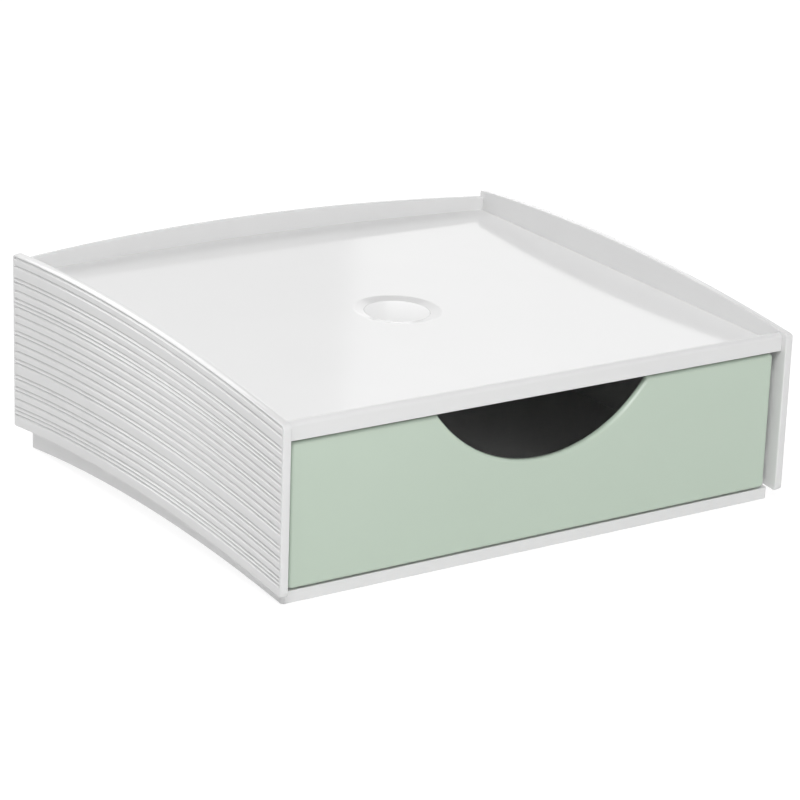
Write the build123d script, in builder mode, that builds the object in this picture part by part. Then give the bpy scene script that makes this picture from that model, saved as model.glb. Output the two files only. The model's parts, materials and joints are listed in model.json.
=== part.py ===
"""Storage drawer box: a white housing with page-ribbed sides and a tray top, and one mint drawer.

Millimetres. +X is the right side, -Y the front, +Z up.
The origin is on the table under the middle of the box.
"""
import os
from math import radians, tan

from build123d import *

os.makedirs("parts", exist_ok=True)

# Overall size and walls
width = 260.0
panel_length = 230.0
back_bow = 9.0
panel_thickness = 3.8
wall = 2.4
seam = 0.1

# Arched edges of the side panels: heights at the front and back edges, and the rise between them
panel_bottom_front = 5.0
panel_bottom_back = 8.1
panel_bottom_arch = 6.6
panel_top_front = 77.3
panel_top_back = 89.6
panel_top_arch = 5.9
panel_corner = 1.6
panel_edge_round = 0.6

# Page grooves: how many equal sheets make up a panel's height, and after which sheets a groove is cut
sheets = 43
grooved_sheets = (1, 3, 6, 7, 9, 11, 12, 13, 15, 17, 19, 20, 22, 24, 26, 27, 30, 31, 33, 34, 36, 38, 39, 40)
groove_width = 1.25
groove_depth = 0.7
groove_overrun = 0.02

# Tray on top
fascia_setback = 3.0
fascia_thickness = 3.0
fascia_height = 7.9
lip_rise = -0.2
lip_depth = 5.5
floor_thickness = 2.4
lip_front_round = 2.2
lip_rear_round = 0.7
lip_cove = 2.0
hung_flange = 14.0

# Blank round badge in the tray floor
badge_rim_radius = 19.6
badge_radius = 14.6
badge_recess = 0.9
badge_thickness = 1.0
badge_backing = 1.2
badge_boss_wall = 3.0
badge_rim_round = 5.0
badge_dome = 0.6
badge_fit = 0.1

# Back panel
back_thickness = 3.0
back_drop = 2.9
back_top_arch = 3.2
back_depth = 6.4
back_edge_round = 1.0
back_flange_reach = 14.0
back_flange_gap = 3.0
back_flange_height = 33.0
shelf_thickness = 2.2
shelf_lap = 2.0

# Base and its feet
base_setback = 5.0
base_back_inset = 9.8
base_bottom = 0.4
base_front_top = 5.5
base_arch = 5.7
base_corner = 1.5
plate_underside = 6.3
side_flange_top = 24.0
foot_radius = 6.0
foot_seat = 1.8
foot_boss_wall = 1.0
foot_inset = 18.0
foot_round = 0.4
glide_spread = 160.0
glide_width = 5.0
glide_height = 0.8

# Drawer
drawer_setback = 4.4
drawer_front_thickness = 3.0
drawer_bottom_gap = 0.8
drawer_top_gap = 1.3
drawer_side_gap = 3.0
drawer_front_corner = 0.8
drawer_front_round = 1.2
cutout_radius = 67.2
cutout_depth = 27.2
cutout_round = 0.5
tub_wall = 2.2
tub_side_gap = 0.5
tub_glide_gap = 0.3
tub_back_gap = 4.0
tub_drop = 9.0
tub_return = 12.0
tub_step_gap = 0.7
stop_tab_height = 8.0
stop_tab_width = 8.0
stop_tab_inset = 12.0
stop_catch = 4.0
stop_rib_thickness = 3.0
stop_gap = 0.5
drawer_travel = 160.0

# Countersunk self-tapping screws
shank_radius = 1.45
head_radius = 2.8
sink_angle = 90.0
screw_bite = 2.2
front_screw_bite = 2.0
screw_fit = 0.1
thread_fit = 0.05
slot_width = 0.7
slot_length = 3.4
slot_depth = 0.7
screw_end_inset = 32.0
base_screw_drop = 5.0
hung_screw_drop = 8.0
back_screw_inset = 8.0
front_screw_inset = 6.0
front_screw_low = 22.0
front_screw_high = 48.0

# Places worked out from the sizes above
half = width / 2
inner_half = half - panel_thickness
frame_half = inner_half - seam
flange_half = frame_half - wall
front = -(panel_length + back_bow) / 2
back = front + panel_length
middle = (front + back) / 2
back_inner = back - back_thickness
back_top = panel_top_back - back_drop
back_flange_bottom = side_flange_top + back_flange_gap
lip_top = panel_top_front + lip_rise
fascia_bottom = lip_top - fascia_height
floor_front = lip_top - lip_depth
floor_back = back_top - back_depth
fascia_front = front + fascia_setback
fascia_rear = fascia_front + fascia_thickness
plate_top = plate_underside + wall
base_front = front + base_setback
base_back = back - base_back_inset
drawer_face = front + drawer_setback
drawer_rear = drawer_face + drawer_front_thickness
drawer_front_bottom = base_front_top + drawer_bottom_gap
drawer_front_top = fascia_bottom - drawer_top_gap
base_step = drawer_rear + tub_step_gap
flange_front = base_step + wall
drawer_half = inner_half - drawer_side_gap
tub_half = flange_half - tub_side_gap
tub_bottom = plate_top + glide_height + tub_glide_gap
tub_top = drawer_front_top - tub_drop
shelf_inner = base_back - shelf_lap
tub_back = shelf_inner - tub_back_gap
stop_tab_front = tub_back - tub_wall
stop_tab_top = tub_top + stop_tab_height
stop_rib_bottom = stop_tab_top - stop_catch
stop_rib_back = stop_tab_front - drawer_travel - stop_gap
stop_middle = tub_half - stop_tab_inset - stop_tab_width / 2
flange_back = back_inner - back_flange_reach - seam
head_height = (head_radius - shank_radius) / tan(radians(sink_angle / 2))
screw_length = wall + seam + screw_bite
front_screw_length = tub_wall + front_screw_bite
base_screw_height = side_flange_top - base_screw_drop
far = width + panel_length


def edge_height(front_height, back_height, arch, station):
    """Height of an arched edge at a station, 0 at the panels' front edge and 1 at their back edge."""
    return front_height + (back_height - front_height) * station + 4 * arch * station * (1 - station)


def sheet_height(share, station):
    """Height of a page line that lies a share of the way down from a panel's top edge to its bottom edge."""
    top = edge_height(panel_top_front, panel_top_back, panel_top_arch, station)
    bottom = edge_height(panel_bottom_front, panel_bottom_back, panel_bottom_arch, station)
    return top + (bottom - top) * share


def page_arc(share, overrun=0.0):
    """The arc of one page line, seen from the side, from the front edge to the back edge."""
    stations = (-overrun, 0.5, 1 + overrun)
    return ThreePointArc(*[(front + panel_length * s, sheet_height(share, s)) for s in stations])


def floor_height(y):
    """Height of the sloping tray floor's upper face."""
    return floor_front + (floor_back - floor_front) * (y - front) / panel_length


def bowed_arc(inset, half_span):
    """The bow of the back, seen from above, an inset inside its outer face."""
    y = back - inset
    return ThreePointArc((-half_span, y), (0, y + back_bow), (half_span, y))


def front_plane(y):
    """An upright plane that faces the front, with X to the right and Z up."""
    return Plane(origin=(0, y, 0), x_dir=(1, 0, 0), z_dir=(0, -1, 0))


def inward_plane(side, x, y, z):
    """An upright plane on a side flange's inner face, which looks towards the middle of the box."""
    return Plane(origin=(side * x, y, z), x_dir=(0, 1, 0), z_dir=(-side, 0, 0))


def flange_seats(places):
    """Screw seats on both side flanges, from pairs of a distance along Y and a height."""
    return [inward_plane(side, flange_half, y, z) for side in (-1, 1) for y, z in places]


screw_stations = (front + screw_end_inset, middle, base_back - screw_end_inset)
base_seats = flange_seats([(y, base_screw_height) for y in screw_stations])
tray_seats = flange_seats([(y, floor_height(y) - floor_thickness - hung_screw_drop) for y in screw_stations])
back_screw_y = back_inner - back_screw_inset
back_screw_heights = (back_flange_bottom + back_screw_inset,
                      back_flange_bottom + back_flange_height - back_screw_inset)
back_seats = flange_seats([(back_screw_y, z) for z in back_screw_heights])
front_seats = [
    Plane(origin=(side * (tub_half - front_screw_inset), drawer_rear + tub_wall, z), x_dir=(1, 0, 0),
          z_dir=(0, 1, 0))
    for side in (-1, 1)
    for z in (front_screw_low, front_screw_high)
]


def keep(part, name):
    """Labels a finished piece and writes it under its name."""
    part.label = name
    export_step(part, f"parts/{name}.step")


def sink_screws(seats, depth):
    """Cuts a countersunk clearance hole at every seat."""
    with Locations(*seats):
        CounterSinkHole(radius=shank_radius + screw_fit, counter_sink_radius=head_radius + screw_fit,
                        depth=depth, counter_sink_angle=sink_angle)


def drill_pilots(seats, depth):
    """Cuts the blind hole that a screw's thread bites in, measured from the screw's seat."""
    with Locations(*seats):
        Cylinder(radius=shank_radius + thread_fit, height=depth,
                 align=(Align.CENTER, Align.CENTER, Align.MAX), mode=Mode.SUBTRACT)


def screw_group(name, seats, length):
    """Countersunk screws with a cross slot, one at every seat, all in one node."""
    with BuildPart() as group:
        with Locations(*seats):
            Cone(bottom_radius=shank_radius, top_radius=head_radius, height=head_height,
                 align=(Align.CENTER, Align.CENTER, Align.MAX))
            Cylinder(radius=shank_radius, height=length, align=(Align.CENTER, Align.CENTER, Align.MAX))
            for turn in (0, 90):
                Box(slot_length, slot_width, slot_depth, rotation=(0, 0, turn),
                    align=(Align.CENTER, Align.CENTER, Align.MAX), mode=Mode.SUBTRACT)
    keep(group.part, name)


# Side panels: flat plates with arched edges, cut on the outside by page grooves from end to end
def side_panel(side, name):
    outer_plane = Plane.YZ.offset(side * half)
    seats = [seat for seat in base_seats + tray_seats + back_seats if seat.origin.X * side > 0]
    with BuildPart() as panel:
        with BuildSketch(Plane.YZ.offset(side * inner_half)) as outline:
            with BuildLine():
                bottom = page_arc(1)
                top = page_arc(0)
                Line(bottom @ 0, top @ 0)
                Line(bottom @ 1, top @ 1)
            make_face()
            fillet(outline.vertices(), radius=panel_corner)
        extrude(amount=side * panel_thickness)
        fillet(panel.faces().filter_by(Axis.X).edges(), radius=panel_edge_round)
        for sheet in grooved_sheets:
            with BuildLine(outer_plane) as line:
                page_arc(sheet / sheets, groove_overrun)
            with BuildSketch(Plane(origin=line.line @ 0, x_dir=(side, 0, 0), z_dir=line.line % 0)):
                Polygon((-groove_depth, 0), (groove_depth, groove_width), (groove_depth, -groove_width),
                        align=None)
            sweep(mode=Mode.SUBTRACT)
        drill_pilots(seats, screw_length + thread_fit)
    keep(panel.part, name)


side_panel(-1, "left_side_panel")
side_panel(1, "right_side_panel")


# Base: an inverted tray whose front is a low sill, with arched sides and upright flanges against the panels
foot_places = [
    (x * (frame_half - foot_inset), y)
    for y in (base_front + foot_inset, base_back - foot_inset)
    for x in (-1, 1)
]

with BuildPart() as base:
    with BuildSketch(Plane.XY.offset(base_bottom)):
        with BuildLine():
            rear = bowed_arc(base_back_inset, frame_half)
            Polyline(rear @ 0, (-frame_half, base_front), (frame_half, base_front), rear @ 1)
        make_face()
    extrude(amount=plate_top - base_bottom)
    fillet(base.edges().filter_by(Axis.Z), radius=base_corner)
    # hollow underside
    with BuildSketch(Plane.XY.offset(base_bottom)):
        with BuildLine():
            rear = bowed_arc(base_back_inset + wall, flange_half)
            Polyline(rear @ 0, (-flange_half, flange_front), (flange_half, flange_front), rear @ 1)
        make_face()
    extrude(amount=plate_underside - base_bottom, mode=Mode.SUBTRACT)
    # space for the drawer front above the sill, and the hollow behind the sill
    with BuildSketch(Plane.YZ):
        with Locations((base_front, base_front_top)):
            Rectangle(base_step - base_front, plate_top - base_front_top, align=(Align.MIN, Align.MIN))
    extrude(amount=half, both=True, mode=Mode.SUBTRACT)
    with BuildSketch(Plane.YZ):
        with Locations((base_front + wall, base_bottom)):
            Rectangle(flange_front - base_front - wall, base_front_top - wall - base_bottom,
                      align=(Align.MIN, Align.MIN))
    extrude(amount=flange_half, both=True, mode=Mode.SUBTRACT)
    # arched lower edge of both sides
    for side in (-1, 1):
        with BuildSketch(Plane.YZ.offset(side * flange_half)):
            with BuildLine():
                crown = ((base_front + base_back) / 2, base_bottom + base_arch)
                arch = ThreePointArc((base_front, base_bottom), crown, (base_back, base_bottom))
                Line(arch @ 0, arch @ 1)
            make_face()
        extrude(amount=side * (wall + seam), mode=Mode.SUBTRACT)
    # upright side flanges
    for side in (-1, 1):
        with BuildSketch(Plane.YZ.offset(side * flange_half)):
            with Locations((flange_front, plate_top)):
                Rectangle(base_back - base_corner - flange_front, side_flange_top - plate_top,
                          align=(Align.MIN, Align.MIN))
        extrude(amount=side * wall)
    # two glide ribs for the drawer
    with BuildSketch(Plane.XY.offset(plate_top)):
        with Locations((-glide_spread / 2, flange_front), (glide_spread / 2, flange_front)):
            Rectangle(glide_width, tub_back - flange_front, align=(Align.CENTER, Align.MIN))
    extrude(amount=glide_height)
    # bosses that the feet are stuck to
    with BuildSketch(Plane.XY.offset(foot_seat)):
        with Locations(*foot_places):
            Circle(foot_radius + foot_boss_wall)
    extrude(amount=plate_underside - foot_seat)
    sink_screws(base_seats, wall)
keep(base.part, "base")

foot_names = ("front_left_foot", "front_right_foot", "rear_left_foot", "rear_right_foot")
for name, place in zip(foot_names, foot_places):
    with BuildPart() as foot:
        with BuildSketch():
            with Locations(place):
                Circle(foot_radius)
        extrude(amount=foot_seat)
        fillet(foot.faces().sort_by(Axis.Z)[0].edges(), radius=foot_round)
    keep(foot.part, name)


# Top tray: a floor that slopes down to a front lip, with hung side flanges and a round recess for the badge
badge_y = middle
floor_normal = (0, floor_front - floor_back, panel_length)
badge_plane = Plane(origin=(0, badge_y, floor_height(badge_y)), x_dir=(1, 0, 0), z_dir=floor_normal)
badge_seat = badge_plane.offset(-badge_recess - badge_thickness)
tray_rear = back + back_bow

with BuildPart() as tray:
    cove = (fascia_rear, floor_height(fascia_rear))
    with BuildSketch(Plane.YZ.offset(-frame_half)) as profile:
        with BuildLine():
            Polyline(
                (fascia_front, fascia_bottom),
                (fascia_front, lip_top),
                (fascia_rear, lip_top),
                cove,
                (tray_rear, floor_height(tray_rear)),
                (tray_rear, floor_height(tray_rear) - floor_thickness),
                (fascia_rear, floor_height(fascia_rear) - floor_thickness),
                (fascia_rear, fascia_bottom),
                close=True,
            )
        make_face()
        fillet(profile.vertices().sort_by_distance((fascia_front, lip_top))[0], radius=lip_front_round)
        fillet(profile.vertices().sort_by_distance((fascia_rear, lip_top))[0], radius=lip_rear_round)
        fillet(profile.vertices().sort_by_distance(cove)[0], radius=lip_cove)
    extrude(amount=2 * frame_half)
    # rear edge, bowed to follow the back panel
    with BuildSketch(Plane.XY):
        with BuildLine():
            rear = bowed_arc(back_thickness + seam, inner_half)
            Polyline(rear @ 0, (-inner_half, far), (inner_half, far), rear @ 1)
        make_face()
    extrude(amount=far, mode=Mode.SUBTRACT)
    # hung side flanges
    for side in (-1, 1):
        with BuildSketch(Plane.YZ.offset(side * flange_half)):
            with BuildLine():
                under = [(y, floor_height(y) - floor_thickness) for y in (flange_front, flange_back)]
                Polyline(under[0], under[1], (under[1][0], under[1][1] - hung_flange),
                         (under[0][0], under[0][1] - hung_flange), close=True)
            make_face()
        extrude(amount=side * wall)
    # stop ribs that catch the drawer's tabs
    with BuildSketch(Plane.XY.offset(stop_rib_bottom)):
        with Locations((-stop_middle, stop_rib_back), (stop_middle, stop_rib_back)):
            Rectangle(stop_tab_width, stop_rib_thickness, align=(Align.CENTER, Align.MAX))
    extrude(amount=floor_height(stop_rib_back) - floor_thickness / 2 - stop_rib_bottom)
    # badge boss and recess
    with BuildSketch(badge_seat.offset(-badge_backing)):
        Circle(badge_radius + badge_boss_wall)
    extrude(amount=badge_backing + badge_thickness + badge_recess)
    with BuildSketch(badge_seat):
        Circle(badge_radius + badge_fit)
    extrude(amount=badge_thickness + badge_recess, mode=Mode.SUBTRACT)
    with BuildSketch(badge_plane.offset(-badge_recess)):
        Circle(badge_radius + badge_fit)
    with BuildSketch(badge_plane):
        Circle(badge_rim_radius)
    loft(mode=Mode.SUBTRACT)
    circles = tray.edges().filter_by(GeomType.CIRCLE)
    fillet(circles.filter_by(lambda e: abs(e.radius - badge_rim_radius) < seam), radius=badge_rim_round)
    sink_screws(tray_seats, wall)
keep(tray.part, "top_tray")

with BuildPart() as badge:
    with BuildSketch(Plane(origin=badge_seat.origin, x_dir=(1, 0, 0), z_dir=badge_seat.y_dir * -1)):
        with BuildLine():
            crown = (0, badge_thickness + badge_dome)
            rim = (badge_radius, badge_thickness)
            Polyline(crown, (0, 0), (badge_radius, 0), rim)
            TangentArc(crown, rim, tangent=(1, 0))
        make_face()
    revolve(axis=Axis(badge_seat.origin, badge_seat.z_dir))
keep(badge.part, "badge_disc")


# Back panel: a bowed wall with an arched top, a shelf on the base and two flanges against the panels
with BuildPart() as back_panel:
    with BuildSketch(Plane.XY.offset(plate_top)):
        with BuildLine():
            outer = bowed_arc(0, frame_half)
            inner = bowed_arc(back_thickness, frame_half)
            Line(outer @ 0, inner @ 0)
            Line(outer @ 1, inner @ 1)
        make_face()
    extrude(amount=back_top + 2 * back_top_arch - plate_top)
    with BuildSketch(front_plane(0)):
        with BuildLine():
            top = (0, back_top + back_top_arch)
            crest = ThreePointArc((-frame_half, back_top), top, (frame_half, back_top))
            Polyline(crest @ 0, (-frame_half, far), (frame_half, far), crest @ 1)
        make_face()
    extrude(amount=far, both=True, mode=Mode.SUBTRACT)
    crest_edges = back_panel.faces().sort_by(Axis.Z)[-1].edges()
    fillet(crest_edges.filter_by(Axis.Y, reverse=True), radius=back_edge_round)
    # shelf on the base
    with BuildSketch(Plane.XY.offset(plate_top)):
        with BuildLine():
            outer = bowed_arc(back_thickness / 2, flange_half)
            inner = bowed_arc(base_back_inset + shelf_lap, flange_half)
            Line(outer @ 0, inner @ 0)
            Line(outer @ 1, inner @ 1)
        make_face()
    extrude(amount=shelf_thickness)
    # end flanges
    for side in (-1, 1):
        with BuildSketch(Plane.YZ.offset(side * flange_half)):
            with Locations((back_inner + back_thickness / 2, back_flange_bottom)):
                Rectangle(back_flange_reach + back_thickness / 2, back_flange_height,
                          align=(Align.MAX, Align.MIN))
        extrude(amount=side * wall)
    sink_screws(back_seats, wall)
keep(back_panel.part, "back_panel")

screw_group("base_screws", base_seats, screw_length)
screw_group("tray_screws", tray_seats, screw_length)
screw_group("back_screws", back_seats, screw_length)


# Drawer front: a rounded plate with a round finger cut-out in its upper edge
with BuildPart() as drawer_front:
    with BuildSketch(front_plane(drawer_rear)):
        with Locations((0, drawer_front_bottom)):
            RectangleRounded(2 * drawer_half, drawer_front_top - drawer_front_bottom, drawer_front_corner,
                             align=(Align.CENTER, Align.MIN))
    extrude(amount=drawer_front_thickness)
    fillet(drawer_front.faces().sort_by(Axis.Y)[0].edges(), radius=drawer_front_round)
    with BuildSketch(front_plane(drawer_rear)):
        with Locations((0, drawer_front_top - cutout_depth + cutout_radius)):
            Circle(cutout_radius)
    extrude(amount=drawer_front_thickness, mode=Mode.SUBTRACT)
    fillet(drawer_front.faces().sort_by(Axis.Y)[0].edges().filter_by(GeomType.CIRCLE), radius=cutout_round)
    drill_pilots(front_seats, front_screw_length + thread_fit)
keep(drawer_front.part, "drawer_front")


# Drawer tub: bottom, sides and back, with returns for the front's screws and two stop tabs
with BuildPart() as tub:
    with BuildSketch(Plane.XY.offset(tub_bottom)):
        with Locations((0, drawer_rear)):
            Rectangle(2 * tub_half, tub_back - drawer_rear, align=(Align.CENTER, Align.MIN))
    extrude(amount=tub_top - tub_bottom)
    with BuildSketch(Plane.XY.offset(tub_bottom + tub_wall)):
        with Locations((0, drawer_rear + tub_wall)):
            Rectangle(2 * (tub_half - tub_wall), tub_back - drawer_rear - 2 * tub_wall,
                      align=(Align.CENTER, Align.MIN))
    extrude(amount=tub_top - tub_bottom, mode=Mode.SUBTRACT)
    with BuildSketch(Plane.XY.offset(tub_bottom + tub_wall)):
        with Locations((0, drawer_rear)):
            Rectangle(2 * (tub_half - tub_return), tub_wall, align=(Align.CENTER, Align.MIN))
    extrude(amount=tub_top - tub_bottom, mode=Mode.SUBTRACT)
    with BuildSketch(Plane.XY.offset(tub_top)):
        with Locations((-stop_middle, stop_tab_front), (stop_middle, stop_tab_front)):
            Rectangle(stop_tab_width, tub_wall, align=(Align.CENTER, Align.MIN))
    extrude(amount=stop_tab_top - tub_top)
    sink_screws(front_seats, tub_wall)
keep(tub.part, "drawer_tub")

screw_group("drawer_front_screws", front_seats, front_screw_length)
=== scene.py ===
# %% [markdown]
# # A white storage box with a mint drawer
#
# The real object is a small desk box of polished plastic. It has two side panels with page-like grooves,
# a tray on top with a round blank badge, a bowed back, a low base and one drawer with a finger cut-out.
# This lesson dresses a finished frame of that box: it builds the pieces whose curves catch the light as
# smooth surfaces, gives every piece a plastic, rubber or steel finish, and lights it as a studio would.

import json

import bmesh
import bpy
import numpy as np
from mathutils import Matrix, Vector


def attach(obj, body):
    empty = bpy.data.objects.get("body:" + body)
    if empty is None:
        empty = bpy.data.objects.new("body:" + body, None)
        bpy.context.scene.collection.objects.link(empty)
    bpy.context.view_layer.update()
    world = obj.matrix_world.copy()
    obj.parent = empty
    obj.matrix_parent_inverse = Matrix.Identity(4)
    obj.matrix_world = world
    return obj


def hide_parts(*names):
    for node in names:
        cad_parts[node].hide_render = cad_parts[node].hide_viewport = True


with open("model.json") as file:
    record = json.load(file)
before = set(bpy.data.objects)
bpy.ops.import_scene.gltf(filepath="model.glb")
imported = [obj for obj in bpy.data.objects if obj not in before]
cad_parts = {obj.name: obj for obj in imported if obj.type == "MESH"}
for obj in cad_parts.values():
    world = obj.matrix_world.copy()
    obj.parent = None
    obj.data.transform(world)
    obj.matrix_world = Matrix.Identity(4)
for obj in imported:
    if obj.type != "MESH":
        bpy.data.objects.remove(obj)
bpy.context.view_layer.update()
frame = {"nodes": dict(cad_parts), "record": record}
scene = bpy.context.scene

# %% [markdown]
# ## Camera
#
# A product photographer stands well back with a long lens, so that upright edges stay nearly parallel.
# A camera could be aimed with a Track To constraint. Here its place, turn and lens are plain values,
# because a matched view needs a small roll that a constraint would hide.

# %% Camera
camera_place = Vector((-0.696428, -1.019101, 0.440244))
camera_yaw = np.radians(34.59)
camera_pitch = np.radians(18.275)
camera_roll = np.radians(1.978)
camera_lens = 130.994
sensor_width = 36.0


def aim(place, yaw, pitch, roll):
    """A camera's matrix: turned right of +Y by yaw, down by pitch and then rolled about its own axis."""
    heading = Matrix.Rotation(-yaw, 4, "Z")
    tilt = Matrix.Rotation(np.pi / 2 - pitch, 4, "X")
    turn = heading @ tilt @ Matrix.Rotation(roll, 4, "Z")
    return Matrix.Translation(place) @ turn


camera_data = bpy.data.cameras.new("product_camera")
camera_data.lens = camera_lens
camera_data.sensor_width = sensor_width
camera = bpy.data.objects.new("product_camera", camera_data)
scene.collection.objects.link(camera)
camera.matrix_world = aim(camera_place, camera_yaw, camera_pitch, camera_roll)
scene.camera = camera
print("lens", camera_lens, "mm")

# %% [markdown]
# ## Finishes
#
# Moulded plastic looks flat when it is one colour. A mould leaves a faint waviness on a polished face, and
# handling leaves patches that are a little duller. Image textures could carry that, but noise on Object
# coordinates needs no file and has no seams, so each finish here is a few noise nodes round one shader.

# %% Node helpers
tone_scale = 18.0
gloss_scale = 35.0
relief_height = 0.0002


def grey(tone):
    """A neutral colour."""
    return (tone, tone, tone)


def new_material(name):
    """A node material with a Principled shader: the material, its tree and the shader."""
    material = bpy.data.materials.new(name)
    material.use_nodes = True
    tree = material.node_tree
    return material, tree, tree.nodes["Principled BSDF"]


def object_noise(tree, scale, detail):
    """A noise pattern on object coordinates, in features per metre."""
    place = tree.nodes.new("ShaderNodeTexCoord")
    noise = tree.nodes.new("ShaderNodeTexNoise")
    noise.inputs["Scale"].default_value = scale
    noise.inputs["Detail"].default_value = detail
    tree.links.new(place.outputs["Object"], noise.inputs["Vector"])
    return noise.outputs["Fac"]


def ramp(tree, factor, low, high):
    """A colour ramp from one colour to another over the middle of a pattern's range."""
    node = tree.nodes.new("ShaderNodeValToRGB")
    node.color_ramp.elements[0].position = 0.3
    node.color_ramp.elements[1].position = 0.7
    node.color_ramp.elements[0].color = (*low, 1.0)
    node.color_ramp.elements[1].color = (*high, 1.0)
    tree.links.new(factor, node.inputs["Fac"])
    return node.outputs["Color"]


def bump(tree, shader, height, strength, distance):
    """Fine relief on the shader's normal."""
    node = tree.nodes.new("ShaderNodeBump")
    node.inputs["Strength"].default_value = strength
    node.inputs["Distance"].default_value = distance
    tree.links.new(height, node.inputs["Height"])
    tree.links.new(node.outputs["Normal"], shader.inputs["Normal"])


def moulded_finish(name, low, high, gloss_low, gloss_high, relief, relief_scale, metal=0.0):
    """A moulded or plated finish: a breath of tone from low to high, a little change in roughness and a fine
    relief of a given strength and scale."""
    material, tree, shader = new_material(name)
    tone = ramp(tree, object_noise(tree, tone_scale, 2.0), low, high)
    tree.links.new(tone, shader.inputs["Base Color"])
    gloss = ramp(tree, object_noise(tree, gloss_scale, 3.0), grey(gloss_low), grey(gloss_high))
    tree.links.new(gloss, shader.inputs["Roughness"])
    bump(tree, shader, object_noise(tree, relief_scale, 2.0), relief, relief_height)
    shader.inputs["Metallic"].default_value = metal
    return material


# %% Materials on the CAD nodes
mint_low, mint_high = (0.535, 0.635, 0.535), (0.545, 0.645, 0.545)
finishes = {
    "white_plastic": moulded_finish("white_plastic", grey(0.795), grey(0.805), 0.09, 0.11, 0.004, 150.0),
    "mint_plastic": moulded_finish("mint_plastic", mint_low, mint_high, 0.16, 0.18, 0.004, 150.0),
    "foot_rubber": moulded_finish("foot_rubber", grey(0.14), grey(0.18), 0.7, 0.85, 0.2, 2500.0),
    "screw_steel": moulded_finish("screw_steel", grey(0.52), grey(0.62), 0.22, 0.36, 0.1, 3000.0, 1.0),
}
slot_of = {part["node"]: part["material_slot"] for part in frame["record"]["subparts"]}
for name, node in frame["nodes"].items():
    node.data.materials.clear()
    node.data.materials.append(finishes[slot_of[name]])
print("finished", len(slot_of), "nodes")

# %% [markdown]
# ## Side panels
#
# Each side panel is a plate whose outer face looks like the edges of stacked pages: soft grooves run along
# it from end to end and follow its arched edges. Cutting each groove with a Boolean would leave sharp lips
# that catch no light. Here the panel is one profile carried along the box, worked out as a grid of stations
# and levels, so that every groove is a soft V with eased lips, which shows as a dark and a bright line.
# Lengths are in millimetres.

# %% Arched edges
half_width = 130.0
panel_inner = 126.2
panel_front = -119.5
panel_length = 230.0
# height at the front, height at the back and rise of the arch
panel_top = (77.3, 89.6, 5.9)
panel_bottom = (5.0, 8.1, 6.6)


def arched_edge(y, front_height, back_height, rise):
    """Height of a circular arc at y. It joins the heights at both ends and rises above its chord's middle.
    Its centre c solves 2 c.p + s = p.p for three points p on it, with s = r^2 - c.c for its radius r."""
    start, end = panel_front, panel_front + panel_length
    crown = (front_height + back_height) / 2 + rise
    points = np.array([(start, front_height), ((start + end) / 2, crown), (end, back_height)])
    rows = np.column_stack((2 * points, np.ones(3)))
    centre_y, centre_z, spare = np.linalg.solve(rows, (points**2).sum(1))
    radius = np.sqrt(spare + centre_y**2 + centre_z**2)
    return centre_z + np.sqrt(radius**2 - (y - centre_y) ** 2)


ends_and_middle = panel_front + panel_length * np.array([0, 0.5, 1])
print("panel top, front to back:", np.round(arched_edge(ends_and_middle, *panel_top), 2))

# %% Levels of the panel's profile
sheets = 43
grooved_sheets = np.array(
    [1, 3, 6, 7, 9, 11, 12, 13, 15, 17, 19, 20, 22, 24, 26, 27, 30, 31, 33, 34, 36, 38, 39, 40]
)
groove_half = 0.70
groove_depth = 0.85
crown_width = 2.8
crown_height = 0.8
crown_levels = 11
inner_round = 0.5


def quarter_round(width, height, depth):
    """How far a face is set in at a depth below its rounded edge: a quarter of an ellipse, and nothing
    below it."""
    return width * (1 - np.sqrt(1 - np.clip(1 - depth / height, 0, 1) ** 2))


def panel_levels():
    """Levels from the panel's top edge to its bottom edge, as five arrays: share of the way down, drop in
    millimetres, how far the outer edge and the inner edge are set in there, and the depth of the groove.
    A groove is a soft V: its depth is groove_depth * (1 - |q|), where q runs from -1 to 1 across it, with
    the lips and the bottom eased by a few hundredths of a millimetre."""
    across = np.array([-1.12, -1.04, -0.96, -0.88, -0.08, 0.0, 0.08, 0.88, 0.96, 1.04, 1.12])
    dip = groove_depth * np.array([0, 0.005, 0.045, 0.12, 0.90, 0.93, 0.90, 0.12, 0.045, 0.005, 0])
    fall = crown_height * (1 - np.cos(np.linspace(0, np.pi / 2, crown_levels)))
    count = len(grooved_sheets)
    plain, flat = np.zeros(crown_levels), np.zeros(count * len(across))
    page = np.repeat(grooved_sheets / sheets, len(across))
    share = np.concatenate((plain, page, np.ones(crown_levels)))
    drop = np.concatenate((fall, np.tile(groove_half * across, count), -fall[::-1]))
    outer = quarter_round(crown_width, crown_height, fall)
    inner = quarter_round(inner_round, inner_round, fall)
    outer = np.concatenate((outer, flat, outer[::-1]))
    inner = np.concatenate((inner, flat, inner[::-1]))
    groove = np.concatenate((plain, np.tile(dip, count), plain))
    return share, drop, outer, inner, groove


print("levels", len(panel_levels()[0]))

# %% Stations along the panel
end_round = 0.6
corner_round = 1.8
groove_run_out = 1.2
tip_stations = 6
near_stations = [0.8, 1.0, 1.2, 1.4, 1.6, 1.8, 2.4]
span_margin = 5.0
span_stations = 56


def panel_stations():
    """Distances from the front end, how far the profile shrinks there, how far the arched edges turn in, and
    the share of the grooves' depth. Both ends are rounded by a quarter circle, the corners seen from the side
    by a larger one, and the grooves run out in a smooth step just before the ends."""
    tip = end_round * (1 - np.cos(np.linspace(0, np.pi / 2, tip_stations)))
    near = np.concatenate((tip, near_stations))
    span = np.linspace(span_margin, panel_length - span_margin, span_stations)
    along = np.concatenate((near, span, panel_length - near[::-1]))
    to_end = np.minimum(along, panel_length - along)
    step = np.clip((to_end - end_round) / groove_run_out, 0, 1)
    shrink = quarter_round(end_round, end_round, to_end)
    turn_in = quarter_round(corner_round, corner_round, to_end)
    return along, shrink, turn_in, step**2 * (3 - 2 * step)


print("stations", len(panel_stations()[0]))


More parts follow.
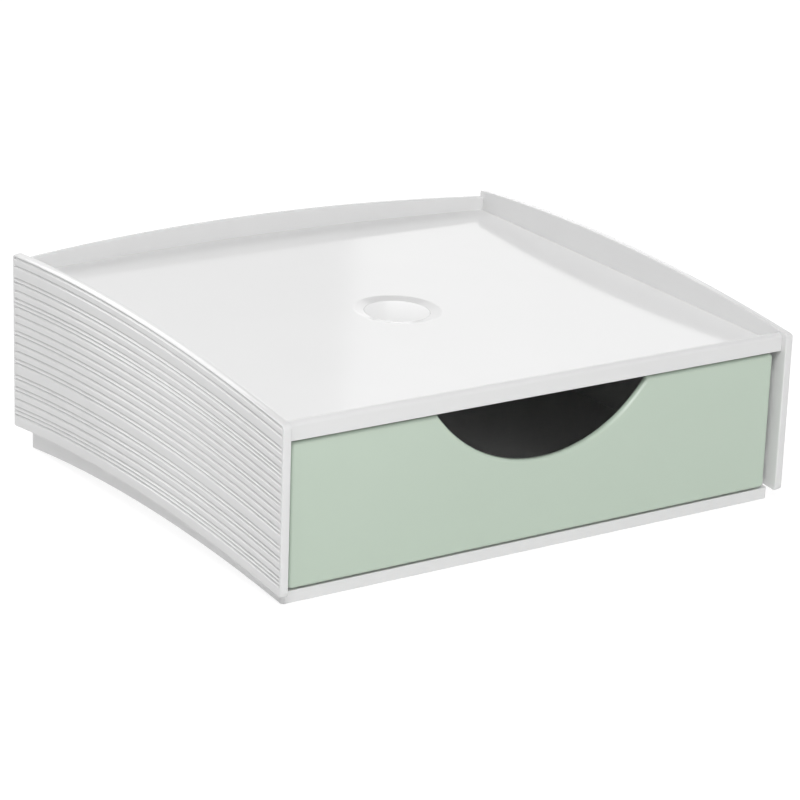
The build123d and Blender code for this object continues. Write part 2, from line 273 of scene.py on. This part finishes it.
# %% Helpers that put a surface into the scene
def tube_faces(rings, loop):
    """Faces between neighbouring rings of points, and the points' numbers, ring by ring."""
    index = np.arange(rings * loop).reshape(rings, loop)
    ahead = np.roll(index, -1, 1)
    return np.stack((index[:-1], ahead[:-1], ahead[1:], index[1:]), -1).reshape(-1, 4), index


def mesh_piece(name, points, faces, body, slot, *nodes):
    """A smooth closed piece from points in millimetres and faces, with outward normals. It rides on a body,
    takes a slot's finish and stands for the named nodes."""
    mesh = bpy.data.meshes.new(name)
    mesh.from_pydata((points * 0.001).tolist(), [], faces)
    work = bmesh.new()
    work.from_mesh(mesh)
    bmesh.ops.recalc_face_normals(work, faces=work.faces)
    work.to_mesh(mesh)
    work.free()
    mesh.shade_smooth()
    mesh.materials.append(finishes[slot])
    piece = bpy.data.objects.new(name, mesh)
    scene.collection.objects.link(piece)
    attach(piece, body)
    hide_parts(*nodes)
    print(name, len(mesh.vertices), "points", len(mesh.polygons), "faces")


# %% Side panels
edge_reach = 3.0
squeeze_limit = 0.4


def page_panel(name, side):
    """A closed ribbed plate: at every station the profile runs down the outer face and up the inner one.
    Height is top * (1 - share) + bottom * share - drop. Near the ends the profile shrinks on all sides: its
    edges over edge_reach, its faces by no more than squeeze_limit of the thickness, so that they never meet.
    Both ends are closed by strips from face to face."""
    share, drop, outer, inner, groove = panel_levels()
    along, shrink, turn_in, run_out = panel_stations()
    y = panel_front + along
    top = arched_edge(y, *panel_top) - turn_in
    bottom = arched_edge(y, *panel_bottom) + turn_in
    height = top[:, None] * (1 - share) + bottom[:, None] * share - drop
    near_top = np.clip(1 - (top[:, None] - height) / edge_reach, 0, 1)
    near_bottom = np.clip(1 - (height - bottom[:, None]) / edge_reach, 0, 1)
    height = height + shrink[:, None] * (near_bottom - near_top)
    squeeze = np.minimum(shrink[:, None], squeeze_limit * (half_width - outer - panel_inner - inner))
    out_x = half_width - outer - groove * run_out[:, None] - squeeze
    in_x = panel_inner + inner + squeeze
    x = side * np.concatenate((out_x, in_x[:, ::-1]), 1)
    z = np.concatenate((height, height[:, ::-1]), 1)
    points = np.stack((x, np.broadcast_to(y[:, None], x.shape), z), -1).reshape(-1, 3)
    skin, index = tube_faces(*x.shape)
    levels = len(share)
    down = index[[0, -1], :levels]
    across = index[[0, -1], ::-1][:, :levels]
    caps = np.stack((down[:, :-1], down[:, 1:], across[:, 1:], across[:, :-1]), -1).reshape(-1, 4)
    faces = np.concatenate((skin, caps)).tolist()
    mesh_piece(name, points, faces, "housing", "white_plastic", name.replace("ribbed", "side"))


page_panel("left_ribbed_panel", -1)
page_panel("right_ribbed_panel", 1)

# %% [markdown]
# ## Drawer front
#
# The drawer front is a moulded mint plate with soft edges and a round finger cut-out in its upper edge. A
# Bevel modifier on a cut plate would leave uneven strips at the sharp ends of the cut-out. Here the outline
# is one closed line, a quarter round is carried along it from the side of the plate to its face, and two
# flat faces close the plate.

# %% Outline of the drawer front
front_half = 123.2
front_bottom, front_top = 6.3, 67.9
front_corner = 1.9
corner_points = 9
cut_radius = 67.2
cut_depth = 27.2
cut_points = 121


def front_outline():
    """The plate's outline in X and Z, turning left: four corners as quarter circles, then the cut-out's arc.
    The arc's centre lies above the plate's middle, and the arc runs below it from right to left."""
    reach = front_half - front_corner
    high, low = front_top - front_corner, front_bottom + front_corner
    centres = np.array([(-reach, high), (-reach, low), (reach, low), (reach, high)])
    angle = np.pi / 2 * np.arange(1, 5)[:, None] + np.linspace(0, np.pi / 2, corner_points)
    corners = centres[:, None] + front_corner * np.stack((np.cos(angle), np.sin(angle)), -1)
    middle = front_top - cut_depth + cut_radius
    start = np.arcsin((front_top - middle) / cut_radius)
    sweep = np.linspace(start, -np.pi - start, cut_points)
    arc = np.stack((cut_radius * np.cos(sweep), middle + cut_radius * np.sin(sweep)), -1)
    return np.concatenate((corners.reshape(-1, 2), arc))


print("outline", len(front_outline()), "points")

# %% Drawer front
front_face, front_back = -115.1, -112.1
front_round = 1.3
round_rings = 9
back_chamfer = 0.3
back_margin, face_margin = 1.0, 0.5


def soft_plate(name):
    """A closed plate: its outline is moved inwards, ring by ring, along the sum of each point's two edge
    normals divided by one plus their product. The rings lead from the back over a small chamfer and the side,
    and go round a quarter circle to the face. Each flat face has a narrow margin that keeps its shading
    even."""
    outline = front_outline()
    edge = np.roll(outline, -1, 0) - outline
    normal = np.stack((-edge[:, 1], edge[:, 0]), -1) / np.linalg.norm(edge, axis=1, keepdims=True)
    before = np.roll(normal, 1, 0)
    mitre = (normal + before) / (1 + (normal * before).sum(1, keepdims=True))
    turn = np.linspace(0, np.pi / 2, round_rings)
    back_inset, back_y = [back_margin, back_chamfer, 0], [front_back, front_back, front_back - back_chamfer]
    inset = np.concatenate((back_inset, front_round * (1 - np.cos(turn)), [front_round + face_margin]))
    y = np.concatenate((back_y, front_face + front_round * (1 - np.sin(turn)), [front_face]))
    flat = outline + inset[:, None, None] * mitre
    points = np.stack((flat[..., 0], np.broadcast_to(y[:, None], flat.shape[:2]), flat[..., 1]), -1)
    skin, index = tube_faces(*flat.shape[:2])
    faces = skin.tolist() + [index[0].tolist(), index[-1].tolist()]
    mesh_piece(name, points.reshape(-1, 3), faces, "drawer", "mint_plastic", "drawer_front")


soft_plate("mint_drawer_front")

# %% [markdown]
# ## Studio floor
#
# The box stands on a white sweep: a floor so bright that it shows as plain white. The floor could simply be
# lit more, but that would also flood the box. Here it glows only for the camera and for reflections, and
# keeps the box's soft shadow, while the light that it throws back on the box is that of plain white paint.

# %% Floor
floor_size = 8.0
floor_white = 0.8
floor_glow = 0.9
floor_shade = 0.2
corner = floor_size / 2
floor_mesh = bpy.data.meshes.new("studio_floor")
floor_corners = [(-corner, -corner, 0), (corner, -corner, 0), (corner, corner, 0), (-corner, corner, 0)]
floor_mesh.from_pydata(floor_corners, [], [(0, 1, 2, 3)])
floor = bpy.data.objects.new("studio_floor", floor_mesh)
scene.collection.objects.link(floor)

floor_paint = bpy.data.materials.new("floor_paint")
floor_paint.use_nodes = True
tree = floor_paint.node_tree
tree.nodes.clear()
output = tree.nodes.new("ShaderNodeOutputMaterial")
mix = tree.nodes.new("ShaderNodeMixShader")
path = tree.nodes.new("ShaderNodeLightPath")
seen = tree.nodes.new("ShaderNodeMath")
seen.operation = "MAXIMUM"
paint = tree.nodes.new("ShaderNodeBsdfDiffuse")
paint.inputs["Color"].default_value = (*grey(floor_white), 1)
glow = tree.nodes.new("ShaderNodeEmission")
glow.inputs["Strength"].default_value = floor_glow
shade = tree.nodes.new("ShaderNodeBsdfDiffuse")
shade.inputs["Color"].default_value = (*grey(floor_shade), 1)
both = tree.nodes.new("ShaderNodeAddShader")
tree.links.new(glow.outputs[0], both.inputs[0])
tree.links.new(shade.outputs[0], both.inputs[1])
tree.links.new(path.outputs["Is Camera Ray"], seen.inputs[0])
tree.links.new(path.outputs["Is Glossy Ray"], seen.inputs[1])
tree.links.new(seen.outputs[0], mix.inputs[0])
tree.links.new(paint.outputs[0], mix.inputs[1])
tree.links.new(both.outputs[0], mix.inputs[2])
tree.links.new(mix.outputs[0], output.inputs["Surface"])
floor_mesh.materials.append(floor_paint)
print("floor", floor_size, "m")

# %% [markdown]
# ## Air and lamps
#
# Polished plastic shows its studio: every soft line on the box is a lamp or a wall that it mirrors. A
# photographed room could stand round it, but a few plain lamps say where each light comes from. The air is
# light near the horizon and nearly black overhead, so that the tray keeps its depth. The key lamp at the
# left shades the grooves, the low lamp at the rear draws their bright lines, and the tray mirrors the two
# tall backdrops, of which the right one makes its right half brighter.

# %% Air
air_low, air_high = 0.55, 0.04
world = bpy.data.worlds.new("studio_air")
scene.world = world
world.use_nodes = True
air = world.node_tree
air.nodes.clear()
air_output = air.nodes.new("ShaderNodeOutputWorld")
air_glow = air.nodes.new("ShaderNodeBackground")
air_place = air.nodes.new("ShaderNodeTexCoord")
air_split = air.nodes.new("ShaderNodeSeparateXYZ")
air_tone = air.nodes.new("ShaderNodeValToRGB")
air_tone.color_ramp.elements[0].position = 0.42
air_tone.color_ramp.elements[0].color = (*grey(air_low), 1)
air_tone.color_ramp.elements[1].position = 0.62
air_tone.color_ramp.elements[1].color = (*grey(air_high), 1)
air.links.new(air_place.outputs["Generated"], air_split.inputs[0])
air.links.new(air_split.outputs["Z"], air_tone.inputs["Fac"])
air.links.new(air_tone.outputs["Color"], air_glow.inputs["Color"])
air.links.new(air_glow.outputs[0], air_output.inputs["Surface"])
print("air from", air_low, "to", air_high)

# %% Lamps
box_middle = (0, 0, 0.05)


def softbox(name, place, target, width, height, watts):
    """A rectangular area lamp that looks at a target."""
    data = bpy.data.lights.new(name, "AREA")
    data.shape = "RECTANGLE"
    data.size = width
    data.size_y = height
    data.energy = watts
    lamp = bpy.data.objects.new(name, data)
    turn = (Vector(target) - Vector(place)).to_track_quat("-Z", "Y")
    lamp.matrix_world = Matrix.Translation(place) @ turn.to_matrix().to_4x4()
    scene.collection.objects.link(lamp)


softbox("key_softbox", (-0.6, -0.9, 1.35), box_middle, 0.7, 0.7, 16.0)
softbox("front_softbox", (-0.1, -1.5, 0.7), box_middle, 0.7, 0.7, 2.8)
softbox("rear_softbox", (-0.2, 1.3, 1.1), box_middle, 1.6, 0.7, 10.0)
softbox("high_softbox", (1.1, 0.3, 1.3), box_middle, 1.0, 1.0, 2.0)
softbox("right_backdrop", (3.1, 2.38, 1.0), (3.1, 0, 1.0), 3.0, 2.0, 7.5)
softbox("wide_backdrop", (0.6, 2.4, 1.0), (0.6, 0, 1.0), 4.0, 2.0, 14.5)
print("stage lit")

# %% [markdown]
#
# The drawer has to fit its housing, so the dressed box must be no larger than its frame. The two could be
# compared by eye. The Standard view keeps white plastic white, where a filmic one would grey it.

scene.view_settings.view_transform = "Standard"
